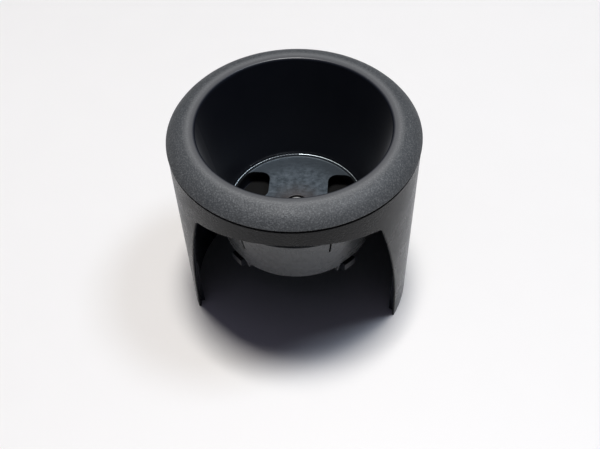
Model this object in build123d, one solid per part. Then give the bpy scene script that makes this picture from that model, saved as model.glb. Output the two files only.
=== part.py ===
from build123d import *
from math import cos, degrees, radians, sin, sqrt, tan
import os

# Cup holder: a tapered cup with a domed rim drops into a round shroud. The shroud's front is cut
# away in an arch. A steel plate with four windows is screwed down over the cup's closed floor, and a
# collar clips round the cup's foot.
# Origin: centre of the base, on the surface the shroud stands on. +Z up, the arch faces -Y.
# All lengths are millimetres and all angles degrees.

# Overall sizes
rim_diameter = 100.0  # across the crease round the domed rim
overall_height = 98.0  # base edge to the crown of the rim

# Domed rim
rim_width = 11.8  # crease to the cup's mouth, radially
dome_width = 9.2  # crease to the crown circle, radially
dome_drop = 5.1  # crown above the crease
lip_radius = 1.2  # rounding from the rim into the cup
rim_edge = 0.5  # upright edge below the crease
rim_edge_radius = 0.25
flange_wall = 2.2

# Cup
cup_depth = 48.0  # crown of the rim to the floor plate's top face
cup_taper = 10.4  # slope of the wall from upright
cup_wall = 2.0
cup_floor = 2.0  # closed floor at the foot of the wall
foot_setback = 1.0  # foot is this far above the collar's bottom edge
hub_radius = 8.5  # hub on the floor, which carries the plate's recess
ledge_width = 2.6  # ledge that carries the plate's edge
ledge_thickness = 2.0

# Spigot under the rim, which locates the cup in the shroud
spigot_depth = 7.0
spigot_wall = 1.8
spigot_clearance = 0.1  # push fit in the shroud, per side
web_count = 8
web_thickness = 1.2
web_setback = 1.0  # webs stop this far above the spigot's lower edge

# Shroud
rim_overhang = 0.2  # rim stands proud of the shroud's wall
shroud_wall = 2.4
groove_height = 1.0  # shadow groove between rim and shroud
groove_depth = 1.2
groove_edge_radius = 0.25
base_chamfer = 0.3

# Arch in the shroud's front
arch_inset = 5.8  # shroud's side to the arch's foot, along X
arch_side_radius = 333.0
arch_top_radius = 105.0
arch_corner_radius = 3.0
arch_edge_radius = 0.5  # rounding along the arch, outside and inside
bridge_height = 8.7  # shroud left above the arch, at its middle

# Locating ribs inside the legs
leg_rib_height = 29.0
leg_rib_lift = 1.5  # rib's lower end above the base
leg_rib_depth = 0.8
leg_rib_thickness = 1.2
leg_rib_setback = 4.0  # rib stands this far behind the arch's cut edge, along Y

# Floor plate
plate_thickness = 0.8
plate_clearance = 0.15  # to the cup's wall, per side
plate_edge_height = 1.2  # turned-up edge above the floor
plate_bend_radius = 1.4  # outside of the bend
recess_radius = 5.05
recess_depth = 1.6
recess_bend_radius = 0.4

# Four windows in the plate, square to the arch: their outer side follows the plate's edge
window_spine = 25.8  # strip left between the left windows and the right ones
window_bridge = 6.0  # strip left between the front windows and the back ones
window_length = 14.9  # along Y
window_corner_radius = 4.0
window_margin = 1.0  # window to the plate's edge
window_scallop = 0.4  # ledge is cut back this much behind each window

# Collar
collar_wall = 1.8
collar_clearance = 0.2  # to the cup's wall, radially
collar_rise = 16.0  # top edge above the floor
collar_drop = 9.5  # bottom edge below the floor
collar_edge_radius = 0.6

# Slits in the collar's upper edge: angle from the front, depth
slits = ((26.5, 8.0), (-33.5, 12.0), (153.5, 8.0), (-146.5, 12.0))
slit_width = 0.8

# Snap hooks on the cup's foot, which hold the collar up: two at the front, two at the back
hook_angle = 46.0  # from the arch's middle, and from the middle of the back
hook_width = 5.5
hook_barb = 3.2  # barb reaches this far past the collar's inside
barb_height = 3.6
hook_tip_height = 2.2  # tapered tip below the barb
notch_height = 2.0  # notch in the collar's bottom edge over each barb
notch_clearance = 1.2  # notch beside each barb
notch_gap = 1.2  # notch above each barb

# Guide ribs, one beside each notch
guide_thickness = 0.9
guide_drop = 4.0
guide_setback = 0.3  # inside both faces of the collar's wall

# Centre fastener
screw_diameter = 5.0
screw_length = 16.0
screw_clearance = 0.25  # in the plate and the hub, per side
thread_clearance = 0.05  # in the nut, per side
head_diameter = 8.2
head_height = 1.8
head_edge_radius = 0.4
cross_span = 4.4
cross_width = 1.1
cross_depth = 1.2
screw_tip_chamfer = 0.6
washer_diameter = 10.0
washer_thickness = 1.0
spring_washer_diameter = 8.8
spring_washer_thickness = 1.3
spring_washer_slit = 1.0
spring_washer_slant = 25.0
nut_width = 8.0  # across flats
nut_height = 4.0

# Radii that follow
rim_radius = rim_diameter / 2
crown_radius = rim_radius - dome_width
mouth_radius = rim_radius - rim_width
shroud_radius = rim_radius - rim_overhang
bore_radius = shroud_radius - shroud_wall
spigot_radius = bore_radius - spigot_clearance
dome_radius = (dome_width**2 + dome_drop**2) / (2 * dome_drop)
screw_radius = screw_diameter / 2
screw_hole_radius = screw_radius + screw_clearance

# Heights that follow
mouth_height = overall_height - lip_radius
crease_height = overall_height - dome_drop
shroud_top = crease_height - rim_edge
arch_top = shroud_top - bridge_height
floor_top = overall_height - cup_depth
shelf_top = floor_top - plate_thickness
hub_top = shelf_top - recess_depth
collar_top = floor_top + collar_rise
collar_bottom = floor_top - collar_drop
foot_bottom = collar_bottom + foot_setback
barb_top = collar_bottom + notch_height - notch_gap
washer_bottom = foot_bottom - washer_thickness
spring_washer_bottom = washer_bottom - spring_washer_thickness
head_bottom = floor_top - recess_depth


def cup_inner_radius(height):
    """Radius of the cup's tapered inside face at a height."""
    return mouth_radius - (mouth_height - height) * tan(radians(cup_taper))


def cup_outer_radius(height):
    """Radius of the cup's tapered outside face at a height."""
    return cup_inner_radius(height) + cup_wall / cos(radians(cup_taper))


def collar_inner_radius(height):
    """Radius of the collar's tapered inside face, which follows the cup."""
    return cup_outer_radius(height) + collar_clearance


def collar_outer_radius(height):
    """Radius of the collar's tapered outside face."""
    return collar_inner_radius(height) + collar_wall


def dome_height(radius):
    """Height of the domed rim's surface at a radius beyond the crown."""
    return overall_height - dome_radius + sqrt(dome_radius**2 - (radius - crown_radius) ** 2)


plate_radius = cup_inner_radius(shelf_top) - plate_clearance


def from_front(angle):
    """Turn an angle measured from the arch's middle into one from +X."""
    return angle - 90


def section(*points):
    """Closed face in the XZ half plane through (radius, height) points."""
    return Plane.XZ * make_face(Polyline(*points, close=True))


def rounded(face, corners, radius):
    """Round a section's corners nearest to the given (radius, height) points."""
    found = [face.vertices().sort_by_distance(Vector(r, 0, z))[0] for r, z in corners]
    return fillet(found, radius)


def spin(face, arc=360.0, middle=0.0):
    """Revolve a section about Z through an arc centred on an angle from +X."""
    return Rot(0, 0, middle - arc / 2) * revolve(face, axis=Axis.Z, revolution_arc=arc)


def tube(outer, inner, bottom, height):
    """Plain upright tube."""
    ring = Circle(outer) - Circle(inner)
    return extrude(Pos(0, 0, bottom) * ring, amount=height)


def radial_bar(inner, outer, thickness, bottom, height, angle):
    """Upright bar along a radius, at an angle from +X."""
    bar = Pos((inner + outer) / 2, 0, bottom + height / 2) * Box(outer - inner, thickness, height)
    return Rot(0, 0, angle) * bar


def web(face, thickness, angle):
    """Thin upright web with the given section, along a radius at an angle from +X."""
    return Rot(0, 0, angle) * extrude(face, amount=thickness / 2, both=True)


def four_ways(angle):
    """Angles from +X, at an angle either side of the arch's middle and of the back's middle."""
    return [from_front(middle + side * angle) for middle in (0, 180) for side in (-1, 1)]


def arch_outline():
    """Arch seen from the front: two leaning sides and a shallow crown, with rounded corners."""
    foot = shroud_radius - arch_inset
    side_centre = arch_side_radius - foot
    right = Pos(-side_centre, 0) * Circle(arch_side_radius)
    left = Pos(side_centre, 0) * Circle(arch_side_radius)
    crown = Pos(0, arch_top - arch_top_radius) * Circle(arch_top_radius)
    above_base = Pos(0, arch_top / 2) * Rectangle(4 * foot, arch_top + 2 * base_chamfer)
    outline = right & left & crown & above_base
    corners = outline.vertices().sort_by(Axis.Y)[-2:]
    return fillet(corners, arch_corner_radius)


def outer_shroud():
    """Round skirt with the arch, the groove's rebate at its top and ribs inside its legs."""
    rebate = shroud_radius - groove_depth
    wall = section(
        (bore_radius, 0),
        (shroud_radius - base_chamfer, 0),
        (shroud_radius, base_chamfer),
        (shroud_radius, shroud_top - groove_height),
        (rebate, shroud_top - groove_height),
        (rebate, shroud_top),
        (bore_radius, shroud_top),
    )
    shroud = spin(rounded(wall, [(shroud_radius, shroud_top - groove_height)], groove_edge_radius))
    shroud -= Plane.XZ * extrude(arch_outline(), amount=rim_diameter)
    curved = shroud.edges().filter_by(GeomType.BSPLINE)
    arch = [edge for edge in curved if edge.center().Z > 2 * base_chamfer]
    shroud = fillet(arch, arch_edge_radius)
    leg_y = sqrt(shroud_radius**2 - (shroud_radius - arch_inset) ** 2) - leg_rib_setback
    rib_angle = 90 - degrees(leg_y / bore_radius)
    for angle in four_ways(rib_angle):
        shroud += radial_bar(
            bore_radius - leg_rib_depth,
            bore_radius + shroud_wall / 2,
            leg_rib_thickness,
            leg_rib_lift,
            leg_rib_height,
            angle,
        )
    return shroud


def hook_section():
    """Snap hook's section: the cup's foot carried on down, a barb outwards and a tapered tip."""
    barb_bottom = barb_top - barb_height
    barb_radius = collar_inner_radius(barb_top) + hook_barb
    tip = barb_bottom - hook_tip_height
    root = foot_bottom + cup_wall
    return section(
        (cup_inner_radius(foot_bottom), foot_bottom),
        (cup_inner_radius(root) + cup_wall / 4, root),
        (cup_outer_radius(root) - cup_wall / 4, root),
        (cup_outer_radius(foot_bottom), foot_bottom),
        (cup_outer_radius(barb_top), barb_top),
        (barb_radius, barb_top),
        (barb_radius, barb_bottom),
        (cup_outer_radius(tip), tip),
        (cup_inner_radius(tip), tip),
    )


def hook_arc(gap=0.0):
    """Angle that a hook takes up round the cup's foot, with a gap on each side."""
    return degrees((hook_width + 2 * gap) / cup_outer_radius(barb_top))


def moulded_floor():
    """Closed floor at the foot of the wall, with a hub and a ledge that carry the plate."""
    reach = cup_inner_radius(shelf_top) + cup_wall / 4
    ledge = tube(reach, plate_radius - ledge_width, shelf_top - ledge_thickness, ledge_thickness)
    for cutter in windows(shelf_top - 2 * ledge_thickness, floor_top, window_scallop):
        ledge -= cutter
    reach = cup_inner_radius(foot_bottom) + cup_wall / 4
    floor = tube(reach, screw_hole_radius, foot_bottom, cup_floor)
    hub = tube(hub_radius, screw_hole_radius, foot_bottom, hub_top - foot_bottom)
    return [ledge, floor, hub]


def cup_insert():
    """Domed rim, spigot with webs, tapered wall, floor and snap hooks, in one moulding."""
    under_rim = overall_height - flange_wall
    spigot_inside = spigot_radius - spigot_wall
    spigot_bottom = shroud_top - spigot_depth
    half_way = crown_radius + dome_width / 2
    outline = [
        Line((cup_inner_radius(foot_bottom), foot_bottom), (mouth_radius, mouth_height)),
        TangentArc(
            (mouth_radius, mouth_height),
            (mouth_radius + lip_radius, overall_height),
            tangent=(0, 1),
        ),
        Line((mouth_radius + lip_radius, overall_height), (crown_radius, overall_height)),
        ThreePointArc(
            (crown_radius, overall_height),
            (half_way, dome_height(half_way)),
            (rim_radius, crease_height),
        ),
        Polyline(
            (rim_radius, crease_height),
            (rim_radius, shroud_top),
            (spigot_radius, shroud_top),
            (spigot_radius, spigot_bottom),
            (spigot_inside, spigot_bottom),
            (spigot_inside, dome_height(spigot_inside) - flange_wall),
            (cup_outer_radius(under_rim), under_rim),
            (cup_outer_radius(foot_bottom), foot_bottom),
            (cup_inner_radius(foot_bottom), foot_bottom),
        ),
    ]
    body = Plane.XZ * make_face(Curve() + outline)
    insert = spin(rounded(body, [(rim_radius, shroud_top)], rim_edge_radius))
    web_bottom = spigot_bottom + web_setback
    web_top = dome_height(spigot_inside) - flange_wall / 2
    web_face = section(
        (cup_outer_radius(web_bottom) - cup_wall / 2, web_bottom),
        (spigot_inside + spigot_wall / 2, web_bottom),
        (spigot_inside + spigot_wall / 2, web_top - flange_wall / 2),
        (spigot_inside, web_top),
        (cup_outer_radius(web_top) - cup_wall / 2, web_top),
    )
    for index in range(web_count):
        insert += web(web_face, web_thickness, 360 / web_count * (index + 0.5))
    for angle in four_ways(hook_angle):
        insert += spin(hook_section(), hook_arc(), angle)
    for piece in moulded_floor():
        insert += piece
    return insert


def window_outline(gap=0.0):
    """Window in the quarter between +X and +Y, grown by a gap on every side."""
    side = window_spine / 2 - gap
    outside = plate_radius - window_margin + gap
    middle = (window_bridge + window_length) / 2
    block = Pos(side + outside / 2, middle) * Rectangle(outside, window_length + 2 * gap)
    outline = block & Circle(outside)
    return fillet(outline.vertices(), min(window_corner_radius + gap, 0.3 * (outside - side)))


def windows(bottom, top, gap=0.0):
    """Cutters for the four windows."""
    cutter = extrude(Pos(0, 0, bottom) * window_outline(gap), amount=top - bottom)
    pair = [cutter, mirror(cutter, about=Plane.YZ)]
    return pair + [mirror(one, about=Plane.XZ) for one in pair]


def floor_plate():
    """Pressed steel plate: turned-up edge, recess for the screw head and four windows."""
    edge_top = floor_top + plate_edge_height
    edge_inside = plate_radius - plate_thickness
    recess_outside = recess_radius + plate_thickness
    pressed = section(
        (screw_hole_radius, head_bottom - plate_thickness),
        (recess_outside, head_bottom - plate_thickness),
        (recess_outside, shelf_top),
        (plate_radius, shelf_top),
        (plate_radius, edge_top),
        (edge_inside, edge_top),
        (edge_inside, floor_top),
        (recess_radius, floor_top),
        (recess_radius, head_bottom),
        (screw_hole_radius, head_bottom),
    )
    pressed = rounded(pressed, [(plate_radius, shelf_top)], plate_bend_radius)
    pressed = rounded(pressed, [(edge_inside, floor_top)], plate_bend_radius - plate_thickness)
    pressed = rounded(pressed, [(recess_radius, floor_top)], recess_bend_radius)
    pressed = rounded(
        pressed,
        [(plate_radius, edge_top), (edge_inside, edge_top)],
        0.45 * plate_thickness,
    )
    plate = spin(pressed)
    for cutter in windows(shelf_top - plate_thickness, edge_top):
        plate -= cutter
    return plate


def support_collar():
    """Tapered ring round the cup's foot, slit at its top and notched over each hook."""
    ring = section(
        (collar_inner_radius(collar_bottom), collar_bottom),
        (collar_outer_radius(collar_bottom), collar_bottom),
        (collar_outer_radius(collar_top), collar_top),
        (collar_inner_radius(collar_top), collar_top),
    )
    edges = [
        (collar_outer_radius(collar_bottom), collar_bottom),
        (collar_outer_radius(collar_top), collar_top),
    ]
    collar = spin(rounded(ring, edges, collar_edge_radius))
    notch = section(
        (cup_inner_radius(collar_bottom), collar_bottom - notch_height),
        (collar_outer_radius(collar_top), collar_bottom - notch_height),
        (collar_outer_radius(collar_top), collar_bottom + notch_height),
        (cup_inner_radius(collar_bottom), collar_bottom + notch_height),
    )
    for angle in four_ways(hook_angle):
        collar -= spin(notch, hook_arc(notch_clearance), angle)
    rib_arc = degrees(guide_thickness / collar_inner_radius(collar_bottom))
    for angle in four_ways(hook_angle - hook_arc(notch_clearance) / 2 - rib_arc / 2):
        collar += guide_rib(angle)
    for angle, depth in slits:
        collar -= radial_bar(
            collar_inner_radius(collar_top - depth) - collar_wall,
            collar_outer_radius(collar_top) + collar_wall,
            slit_width,
            collar_top - depth,
            2 * depth,
            from_front(angle),
        )
    return collar


def guide_rib(angle):
    """Thin rib that hangs from the collar's bottom edge, at an angle from +X."""
    root = collar_bottom + collar_wall
    foot = collar_bottom - guide_drop
    face = section(
        (collar_inner_radius(foot) + guide_setback, foot),
        (collar_outer_radius(foot) - guide_setback, foot),
        (collar_outer_radius(root) - guide_setback, root),
        (collar_inner_radius(root) + guide_setback, root),
    )
    return web(face, guide_thickness, angle)


def centre_screw():
    """Thin-headed machine screw with a cross recess."""
    tip = head_bottom - screw_length
    profile = section(
        (0, tip),
        (screw_radius - screw_tip_chamfer, tip),
        (screw_radius, tip + screw_tip_chamfer),
        (screw_radius, head_bottom),
        (head_diameter / 2, head_bottom),
        (head_diameter / 2, head_bottom + head_height),
        (0, head_bottom + head_height),
    )
    head_edge = (head_diameter / 2, head_bottom + head_height)
    screw = spin(rounded(profile, [head_edge], head_edge_radius))
    slot = Box(cross_span, cross_width, 2 * cross_depth)
    cross = slot + Rot(0, 0, 90) * slot
    return screw - Pos(0, 0, head_bottom + head_height) * cross


def plain_washer():
    """Flat washer under the hub."""
    return tube(washer_diameter / 2, screw_hole_radius, washer_bottom, washer_thickness)


def spring_washer():
    """Split spring washer, pressed flat between the plain washer and the nut."""
    outer = spring_washer_diameter / 2
    ring = tube(outer, screw_radius + thread_clearance, spring_washer_bottom, spring_washer_thickness)
    slit = Box(outer, spring_washer_slit, 4 * spring_washer_thickness)
    middle = spring_washer_bottom + spring_washer_thickness / 2
    return ring - Pos(outer / 2 + screw_radius / 2, 0, middle) * Rot(spring_washer_slant, 0, 0) * slit


def hex_nut():
    """Hexagon nut on the end of the screw, its corners turned down on both faces."""
    bottom = spring_washer_bottom - nut_height
    prism = extrude(Pos(0, 0, bottom) * RegularPolygon(nut_width / 2, 6, major_radius=False), nut_height)
    corner = nut_width / sqrt(3)
    turned = section(
        (0, bottom),
        (nut_width / 2, bottom),
        (corner, bottom + (corner - nut_width / 2) * tan(radians(30))),
        (corner, bottom + nut_height - (corner - nut_width / 2) * tan(radians(30))),
        (nut_width / 2, bottom + nut_height),
        (0, bottom + nut_height),
    )
    bore = Pos(0, 0, bottom + nut_height / 2) * Cylinder(screw_radius + thread_clearance, 2 * nut_height)
    return (prism & spin(turned)) - bore


pieces = {
    "outer_shroud": outer_shroud(),
    "cup_insert": cup_insert(),
    "floor_plate": floor_plate(),
    "support_collar": support_collar(),
    "centre_screw": centre_screw(),
    "plain_washer": plain_washer(),
    "spring_washer": spring_washer(),
    "hex_nut": hex_nut(),
}

os.makedirs("parts", exist_ok=True)
for name, piece in pieces.items():
    export_step(piece, f"parts/{name}.step")
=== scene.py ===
"""Looks of the desk cup holder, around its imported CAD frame. Metres, degrees, +Z up, arch facing -Y."""

import math

import bpy
from mathutils import Matrix, Vector


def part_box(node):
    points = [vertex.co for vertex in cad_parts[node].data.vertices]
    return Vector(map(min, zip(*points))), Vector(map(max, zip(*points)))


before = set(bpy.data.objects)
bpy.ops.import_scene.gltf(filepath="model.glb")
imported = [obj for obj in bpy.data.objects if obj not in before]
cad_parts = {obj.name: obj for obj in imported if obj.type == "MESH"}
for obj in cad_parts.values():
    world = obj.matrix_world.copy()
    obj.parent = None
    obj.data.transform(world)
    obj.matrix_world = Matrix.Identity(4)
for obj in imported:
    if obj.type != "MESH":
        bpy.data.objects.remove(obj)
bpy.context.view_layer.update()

MM = 0.001
FLOOR_HALF_WIDTH = 3.0
DOME_WIDTH = 9.2 * MM  # crease round the rim to its crown, radially

# Blender's Mix node has one set of sockets for each type: these are the colour ones.
MIX_FIRST_COLOUR = 6
MIX_SECOND_COLOUR = 7
MIX_RESULT_COLOUR = 2


# ---------------------------------------------------------------- camera, light and floor

CAMERA_PLACE = (23.5, -232.2, 318.7)  # mm, about the base's centre
CAMERA_TURN = 5.5  # degrees anticlockwise from looking along +Y
CAMERA_PITCH = 50.46  # degrees below the horizon
CAMERA_ROLL = -1.93
CAMERA_LENS = 49.56  # mm, on a 36 mm sensor


def make_camera():
    """Camera above and in front of the arch, tilted a little."""
    data = bpy.data.cameras.new("camera")
    data.sensor_width = 36
    data.lens = CAMERA_LENS
    data.clip_start = 0.01
    camera = bpy.data.objects.new("camera", data)
    bpy.context.scene.collection.objects.link(camera)
    turn = Matrix.Rotation(math.radians(CAMERA_TURN), 4, "Z")
    pitch = Matrix.Rotation(math.radians(90 - CAMERA_PITCH), 4, "X")
    roll = Matrix.Rotation(math.radians(CAMERA_ROLL), 4, "Z")
    camera.matrix_world = Matrix.Translation(Vector(CAMERA_PLACE) * MM) @ turn @ pitch @ roll
    bpy.context.scene.camera = camera


def area_light(name, heading, height, distance, size, power, colour):
    """Square area light aimed at the base's centre.

    heading is its bearing from +X and height its angle above the floor, both in degrees.
    """
    data = bpy.data.lights.new(name, "AREA")
    data.shape = "SQUARE"
    data.size = size
    data.energy = power
    data.color = colour
    light = bpy.data.objects.new(name, data)
    bpy.context.scene.collection.objects.link(light)
    flat = math.cos(math.radians(height))
    place = Vector(
        (
            flat * math.cos(math.radians(heading)),
            flat * math.sin(math.radians(heading)),
            math.sin(math.radians(height)),
        )
    )
    light.location = distance * place
    light.rotation_euler = place.to_track_quat("Z", "Y").to_euler()


def make_world():
    """Dim bluish room light, with a plain grey backdrop where the camera sees past the floor."""
    world = bpy.data.worlds.new("world")
    world.use_nodes = True
    tree = world.node_tree
    ambient = tree.nodes["Background"]
    ambient.inputs["Color"].default_value = (0.72, 0.80, 1.0, 1)
    ambient.inputs["Strength"].default_value = 0.07
    backdrop = tree.nodes.new("ShaderNodeBackground")
    backdrop.inputs["Color"].default_value = (0.52, 0.53, 0.55, 1)
    path = tree.nodes.new("ShaderNodeLightPath")
    choice = tree.nodes.new("ShaderNodeMixShader")
    tree.links.new(path.outputs["Is Camera Ray"], choice.inputs["Fac"])
    tree.links.new(ambient.outputs["Background"], choice.inputs[1])
    tree.links.new(backdrop.outputs["Background"], choice.inputs[2])
    tree.links.new(choice.outputs["Shader"], tree.nodes["World Output"].inputs["Surface"])
    bpy.context.scene.world = world


def make_lights():
    """A ceiling panel that casts the shadow, a cool lamp on the right and a weak violet fill in front."""
    area_light("ceiling", heading=60, height=89, distance=3.0, size=0.6, power=80, colour=(1.0, 0.985, 0.955))
    area_light("lamp", heading=12, height=68, distance=1.5, size=0.3, power=4.6, colour=(0.74, 0.85, 1.0))
    area_light("fill", heading=-100, height=73, distance=1.5, size=0.7, power=1.1, colour=(0.80, 0.70, 1.0))


def make_floor():
    """White board that the holder stands on."""
    half = FLOOR_HALF_WIDTH
    mesh = bpy.data.meshes.new("floor")
    corners = [(-half, -half, 0), (half, -half, 0), (half, half, 0), (-half, half, 0)]
    mesh.from_pydata(corners, [], [(0, 1, 2, 3)])
    floor = bpy.data.objects.new("floor", mesh)
    bpy.context.scene.collection.objects.link(floor)
    mesh.materials.append(floor_material())


# ---------------------------------------------------------------- shader building blocks


class Nodes:
    """A material's node tree, with one short call for each kind of node that the finishes use."""

    def __init__(self, name, roughness=0.5, metallic=0.0, specular=0.5):
        self.material = bpy.data.materials.new(name)
        self.material.use_nodes = True
        self.tree = self.material.node_tree
        self.shader = self.tree.nodes["Principled BSDF"]
        self.shader.inputs["Roughness"].default_value = roughness
        self.shader.inputs["Metallic"].default_value = metallic
        self.shader.inputs["Specular IOR Level"].default_value = specular
        self.place = self.add("ShaderNodeTexCoord").outputs["Object"]

    def add(self, kind, **settings):
        """New node, with its settings."""
        node = self.tree.nodes.new(kind)
        for key, value in settings.items():
            setattr(node, key, value)
        return node

    def feed(self, socket, value):
        """Link a node's output to a socket, or set the socket to a plain value."""
        if isinstance(value, bpy.types.NodeSocket):
            self.tree.links.new(value, socket)
        else:
            socket.default_value = value

    def noise(self, size, detail=2.0, rough=0.5, stretch=None):
        """Noise between 0 and 1, with features about size metres across."""
        node = self.add("ShaderNodeTexNoise")
        place = self.place
        if stretch:
            mapping = self.add("ShaderNodeMapping")
            mapping.inputs["Scale"].default_value = stretch
            self.feed(mapping.inputs["Vector"], place)
            place = mapping.outputs["Vector"]
        self.feed(node.inputs["Vector"], place)
        node.inputs["Scale"].default_value = 1 / size
        node.inputs["Detail"].default_value = detail
        node.inputs["Roughness"].default_value = rough
        return node.outputs["Fac"]

    def cells(self, size):
        """Distance to the middle of pebble-like cells, size metres across."""
        node = self.add("ShaderNodeTexVoronoi", feature="SMOOTH_F1")
        self.feed(node.inputs["Vector"], self.place)
        node.inputs["Scale"].default_value = 1 / size
        node.inputs["Smoothness"].default_value = 0.4
        return node.outputs["Distance"]

    def ramp(self, value, low, high, out_low=0.0, out_high=1.0):
        """Map a value from low..high smoothly to out_low..out_high, clamped."""
        node = self.add("ShaderNodeMapRange")
        node.interpolation_type = "SMOOTHSTEP"
        self.feed(node.inputs["Value"], value)
        node.inputs["From Min"].default_value = low
        node.inputs["From Max"].default_value = high
        node.inputs["To Min"].default_value = out_low
        node.inputs["To Max"].default_value = out_high
        return node.outputs["Result"]

    def math(self, operation, first, second):
        """Result of a two-input math node."""
        node = self.add("ShaderNodeMath", operation=operation)
        self.feed(node.inputs[0], first)
        self.feed(node.inputs[1], second)
        return node.outputs["Value"]

    def mix(self, factor, first, second):
        """Mix two colours."""
        node = self.add("ShaderNodeMix", data_type="RGBA")
        self.feed(node.inputs["Factor"], factor)
        self.feed(node.inputs[MIX_FIRST_COLOUR], first)
        self.feed(node.inputs[MIX_SECOND_COLOUR], second)
        return node.outputs[MIX_RESULT_COLOUR]

    def radius(self):
        """Distance from the cup's axis, in metres."""
        flat = self.add("ShaderNodeVectorMath", operation="MULTIPLY")
        self.feed(flat.inputs[0], self.place)
        flat.inputs[1].default_value = (1, 1, 0)
        length = self.add("ShaderNodeVectorMath", operation="LENGTH")
        self.feed(length.inputs[0], flat.outputs["Vector"])
        return length.outputs["Value"]

    def height(self):
        """Height above the base, in metres."""
        split = self.add("ShaderNodeSeparateXYZ")
        self.feed(split.inputs["Vector"], self.place)
        return split.outputs["Z"]

    def bump(self, value, depth, under=None):
        """Bump from a 0..1 value, depth metres high; under is a bump that it lies on."""
        node = self.add("ShaderNodeBump")
        node.inputs["Strength"].default_value = 1.0
        node.inputs["Distance"].default_value = depth
        self.feed(node.inputs["Height"], value)
        if under:
            self.feed(node.inputs["Normal"], under)
        return node.outputs["Normal"]

    def finish(self, colour, roughness, normal):
        """Feed the shader and hand over the material."""
        self.feed(self.shader.inputs["Base Color"], colour)
        self.feed(self.shader.inputs["Roughness"], roughness)
        self.feed(self.shader.inputs["Normal"], normal)
        return self.material


def grey(value, warmth=0.0):
    """Near-neutral linear colour: positive warmth is redder, negative is bluer."""
    return (value * (1 + warmth), value, value * (1 - warmth), 1)


def half_width(node):
    """Outside radius of a round CAD node."""
    low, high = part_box(node)
    return (high[0] - low[0]) / 2


# ---------------------------------------------------------------- finishes


def floor_material():
    """Warm white painted board, very slightly mottled."""
    n = Nodes("floor_paint", specular=0.3)
    colour = n.mix(n.noise(250 * MM, 3), (0.85, 0.835, 0.82, 1), (0.88, 0.865, 0.85, 1))
    roughness = n.ramp(n.noise(20 * MM, 4), 0.3, 0.7, 0.42, 0.5)
    return n.finish(colour, roughness, n.bump(n.noise(1.5 * MM, 3), 0.01 * MM))


def moulded_black(name, grained, wear_and_highlight, shade, specular, sheen, smooth_roughness, shade_under_plate=None):
    """Black moulded plastic, pebbled in some places and smooth in others.

    grained and the other two functions of the Nodes give 1 where the mould is pebbled, where it is coloured
    lighter (wear, and on the cup's crown also a painted highlight) and where painted shade goes under the
    floor plate as a near-black colour. shade is the pebbles' grey.
    """
    n = Nodes(name, specular=specular)
    n.shader.inputs["Sheen Weight"].default_value = sheen
    n.shader.inputs["Sheen Roughness"].default_value = 0.3
    n.shader.inputs["Sheen Tint"].default_value = (0.92, 0.95, 1.0, 1)

    grain = grained(n)
    wear_and_highlight_mask = wear_and_highlight(n)
    pebbles = n.math("ADD", n.math("MULTIPLY", n.cells(0.85 * MM), 0.8), n.noise(0.4 * MM, 2, 0.6))
    relief = n.math("MULTIPLY", pebbles, grain)
    flecks = n.math("MULTIPLY", n.ramp(n.noise(0.55 * MM, 3, 0.65), 0.42, 0.74), grain)
    cloud = n.noise(30 * MM, 3)

    smooth_colour = n.mix(cloud, (0.013, 0.016, 0.025, 1), (0.017, 0.020, 0.031, 1))
    pebbled_colour = n.mix(cloud, grey(0.8 * shade, -0.07), grey(0.95 * shade, -0.04))
    fleck_colour = grey(0.012 + 2.5 * shade, -0.02)
    colour = n.mix(grain, smooth_colour, pebbled_colour)
    colour = n.mix(n.math("MULTIPLY", flecks, 0.6), colour, fleck_colour)
    # painted shade: near-black colour under the floor plate, where the well lies in the dark
    if shade_under_plate:
        colour = n.mix(shade_under_plate(n), colour, grey(0.004))
    # lighter colour where rubbed: wear, and on the cup's crown also a painted highlight
    colour = n.mix(n.math("MULTIPLY", wear_and_highlight_mask, 0.5), colour, grey(2.7 * shade))

    roughness = n.ramp(n.noise(8 * MM, 4), 0.3, 0.7, smooth_roughness - 0.04, smooth_roughness + 0.04)
    roughness = n.math("ADD", roughness, n.math("MULTIPLY", grain, 0.14))
    roughness = n.math("SUBTRACT", roughness, n.math("MULTIPLY", wear_and_highlight_mask, 0.08))
    if shade_under_plate:
        roughness = n.math("MAXIMUM", roughness, n.math("MULTIPLY", shade_under_plate(n), 0.9))

    ripple = n.bump(n.noise(6 * MM, 2), 0.01 * MM)
    return n.finish(colour, roughness, n.bump(relief, 0.09 * MM, ripple))


def shroud_material():
    """Pebbled outside, smooth inside, rubbed along its top edge."""
    outside = half_width("outer_shroud")
    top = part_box("outer_shroud")[1][2]

    def grained(n):
        return n.ramp(n.radius(), outside - 0.9 * MM, outside - 0.3 * MM)

    # lighter top edge: wear only, no painted highlight here
    def wear_and_highlight(n):
        return n.ramp(n.height(), top - 1.6 * MM, top - 1.0 * MM)

    return moulded_black(
        "shroud_black",
        grained,
        wear_and_highlight,
        # painted shade: darker grey than the dome's, though both are the same pebbled plastic
        shade=0.017,
        specular=0.3,
        sheen=0.2,
        smooth_roughness=0.15,
    )


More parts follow.
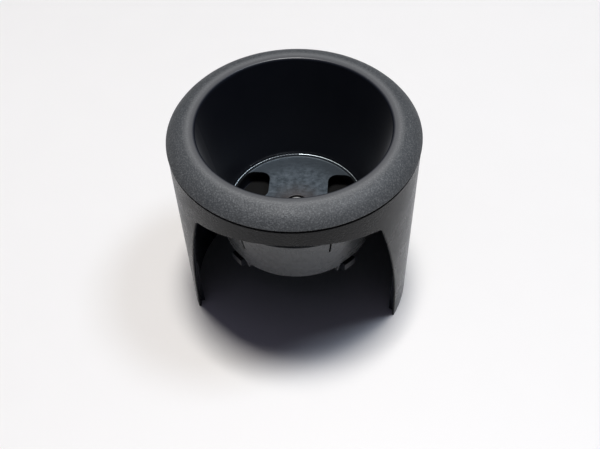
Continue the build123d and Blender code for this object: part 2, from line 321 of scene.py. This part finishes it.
def cup_material():
    """Pebbled dome that fades out at the lip, lighter crown (wear and a painted highlight), smooth well and
    painted shade under the floor plate.
    """
    crown = half_width("cup_insert") - DOME_WIDTH
    plate_edge = half_width("floor_plate")
    plate_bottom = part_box("floor_plate")[0][2]

    def grained(n):
        return n.ramp(n.radius(), crown - 1.2 * MM, crown + 0.6 * MM)

    # lighter crown ring: wear and a painted highlight
    def wear_and_highlight(n):
        inner = n.ramp(n.radius(), crown - 2.4 * MM, crown - 1.2 * MM)
        outer = n.ramp(n.radius(), crown, crown + 3 * MM, 1, 0)
        return n.math("MULTIPLY", inner, outer)

    # painted shade under the floor plate, set by height and radius
    def shade_under_plate(n):
        below = n.ramp(n.height(), plate_bottom - 4.0 * MM, plate_bottom - 0.6 * MM, 1, 0)
        within = n.ramp(n.radius(), plate_edge - 1.5 * MM, plate_edge - 1.1 * MM, 1, 0)
        return n.math("MULTIPLY", below, within)

    return moulded_black(
        "cup_black",
        grained,
        wear_and_highlight,
        # painted light: far lighter grey than the shroud's same pebbled plastic, for the dome's lit top
        shade=0.105,
        specular=0.5,
        sheen=0.1,
        smooth_roughness=0.4,
        shade_under_plate=shade_under_plate,
    )


def collar_material():
    """Smooth satin grey plastic with faint flow clouds."""
    n = Nodes("collar_grey", specular=0.5)
    colour = n.mix(n.noise(12 * MM, 3), grey(0.135, -0.05), grey(0.16, -0.03))
    roughness = n.ramp(n.noise(4 * MM, 4), 0.3, 0.7, 0.25, 0.29)
    ripple = n.bump(n.noise(8 * MM, 2), 0.008 * MM)
    return n.finish(colour, roughness, n.bump(n.noise(0.3 * MM, 3), 0.004 * MM, ripple))


def plate_material():
    """Zinc-plated steel, mottled and dulled: browner towards the screw, with a darker outer ring of painted
    shade by the well wall and a painted highlight as lighter metal on the turned-up edge.
    """
    n = Nodes("plate_zinc", metallic=1.0)
    edge = half_width("floor_plate")
    spangle = n.noise(2.5 * MM, 5, 0.65)
    scuff = n.noise(1.2 * MM, 4, 0.7, stretch=(0.4, 1, 1))
    wandering_radius = n.math("ADD", n.radius(), n.math("MULTIPLY", spangle, 6 * MM))
    brown_centre = n.ramp(wandering_radius, 5 * MM, 18 * MM, 1, 0)
    outer_zone = n.ramp(n.radius(), 17 * MM, 26 * MM)
    turned_edge = n.ramp(n.radius(), edge - 1.2 * MM, edge - 0.8 * MM)

    colour = n.mix(n.ramp(spangle, 0.3, 0.7), (0.088, 0.105, 0.12, 1), (0.175, 0.20, 0.225, 1))
    # browner towards the screw
    colour = n.mix(n.math("MULTIPLY", brown_centre, 0.7), colour, (0.135, 0.112, 0.105, 1))
    # painted shade: darker outer ring by the well wall
    colour = n.mix(outer_zone, colour, (0.09, 0.105, 0.12, 1))
    # painted highlight: lighter metal colour on the turned-up edge; its lower roughness is the finish
    colour = n.mix(turned_edge, colour, (0.42, 0.46, 0.48, 1))

    dull = n.ramp(scuff, 0.3, 0.7, 0.55, 0.72)
    roughness = n.math("SUBTRACT", dull, n.math("MULTIPLY", turned_edge, 0.2))
    relief = n.bump(n.noise(4 * MM, 3), 0.05 * MM)
    return n.finish(colour, roughness, n.bump(scuff, 0.01 * MM, relief))


def steel_material(name, dark, light, lowest_roughness):
    """Plated fastener steel with fine turning marks."""
    n = Nodes(name, metallic=1.0)
    marks = n.noise(0.6 * MM, 4, 0.7, stretch=(1, 1, 6))
    colour = n.mix(n.noise(1.5 * MM, 4), dark, light)
    roughness = n.ramp(marks, 0.3, 0.7, lowest_roughness, lowest_roughness + 0.15)
    return n.finish(colour, roughness, n.bump(marks, 0.008 * MM))


def dress(node, material):
    """Give a CAD node its finish."""
    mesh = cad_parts[node].data
    mesh.materials.clear()
    mesh.materials.append(material)


make_camera()
make_world()
make_lights()
make_floor()

zinc = steel_material("fastener_zinc", (0.40, 0.40, 0.40, 1), (0.55, 0.55, 0.54, 1), lowest_roughness=0.55)
phosphate = steel_material(
    "washer_phosphate",
    (0.05, 0.05, 0.055, 1),
    (0.10, 0.10, 0.105, 1),
    lowest_roughness=0.4,
)
dress("outer_shroud", shroud_material())
dress("cup_insert", cup_material())
dress("support_collar", collar_material())
dress("floor_plate", plate_material())
for fastener in ("centre_screw", "plain_washer", "hex_nut"):
    dress(fastener, zinc)
dress("spring_washer", phosphate)

bpy.context.scene.view_settings.view_transform = "Standard"
bpy.context.scene.view_settings.gamma = 0.8
